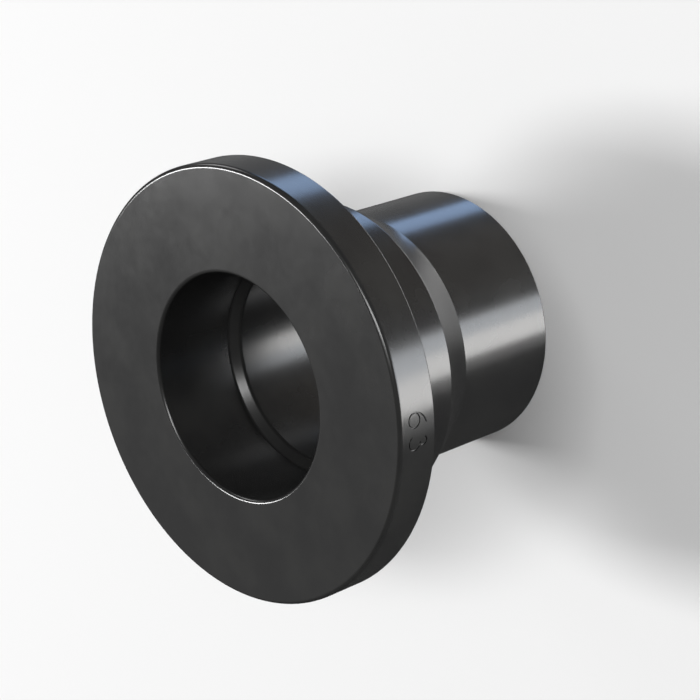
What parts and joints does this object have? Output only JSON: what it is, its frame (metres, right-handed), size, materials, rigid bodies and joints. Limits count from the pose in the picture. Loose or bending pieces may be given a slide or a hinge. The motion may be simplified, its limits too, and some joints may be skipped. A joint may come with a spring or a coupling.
{
  "type": "lap joint stub end",
  "caption": "One-piece black plastic lap joint stub end: thick round collar with a flat sealing face, stepped hub, conical neck and a plain spigot for butt welding to a pipe.",
  "frame": {"origin": "centre of the weld end of the spigot, on the pipe axis", "axes": "+Z along the pipe axis from the weld end to the sealing face, -Y towards the engraved number on the collar's rim"},
  "size_m": [0.1046, 0.1044, 0.073],
  "materials": {
    "black_polyethylene": "satin"
  },
  "bodies": {
    "root": {"stub_end": "black_polyethylene"}
  },
  "joints": []
}
